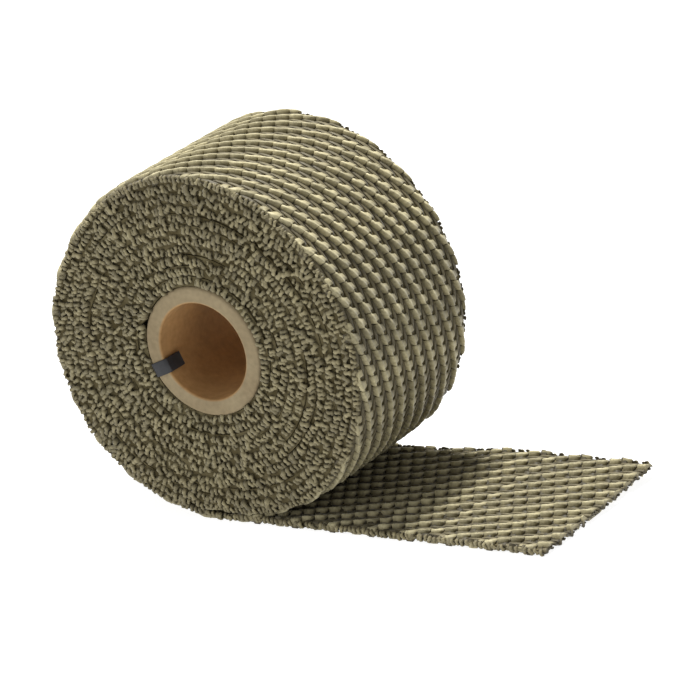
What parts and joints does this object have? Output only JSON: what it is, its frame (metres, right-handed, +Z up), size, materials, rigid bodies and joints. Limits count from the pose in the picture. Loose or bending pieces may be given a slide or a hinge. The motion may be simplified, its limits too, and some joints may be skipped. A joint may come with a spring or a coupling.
{
  "type": "exhaust heat wrap roll",
  "caption": "Roll of thick woven heat-resistant tape on a cardboard core, with its free end lying flat along the ground beside the roll.",
  "frame": {"origin": "on the ground, under the middle of the whole piece's box", "axes": "+Z up, the roll's axis along Y with the tab's end of the core towards -Y, the free end running towards +X"},
  "size_m": [0.1352, 0.0528, 0.089],
  "materials": {
    "heat_wrap": "coarse diagonal weave of thick olive-brown mineral yarn with a dull sheen",
    "cardboard": "plain tan board, matt, a little worn on its rims",
    "black_tape": "black adhesive tape, satin"
  },
  "bodies": {
    "root": {"heat_wrap": "heat_wrap", "cardboard_core": "cardboard", "core_tape_tab": "black_tape"}
  },
  "joints": []
}
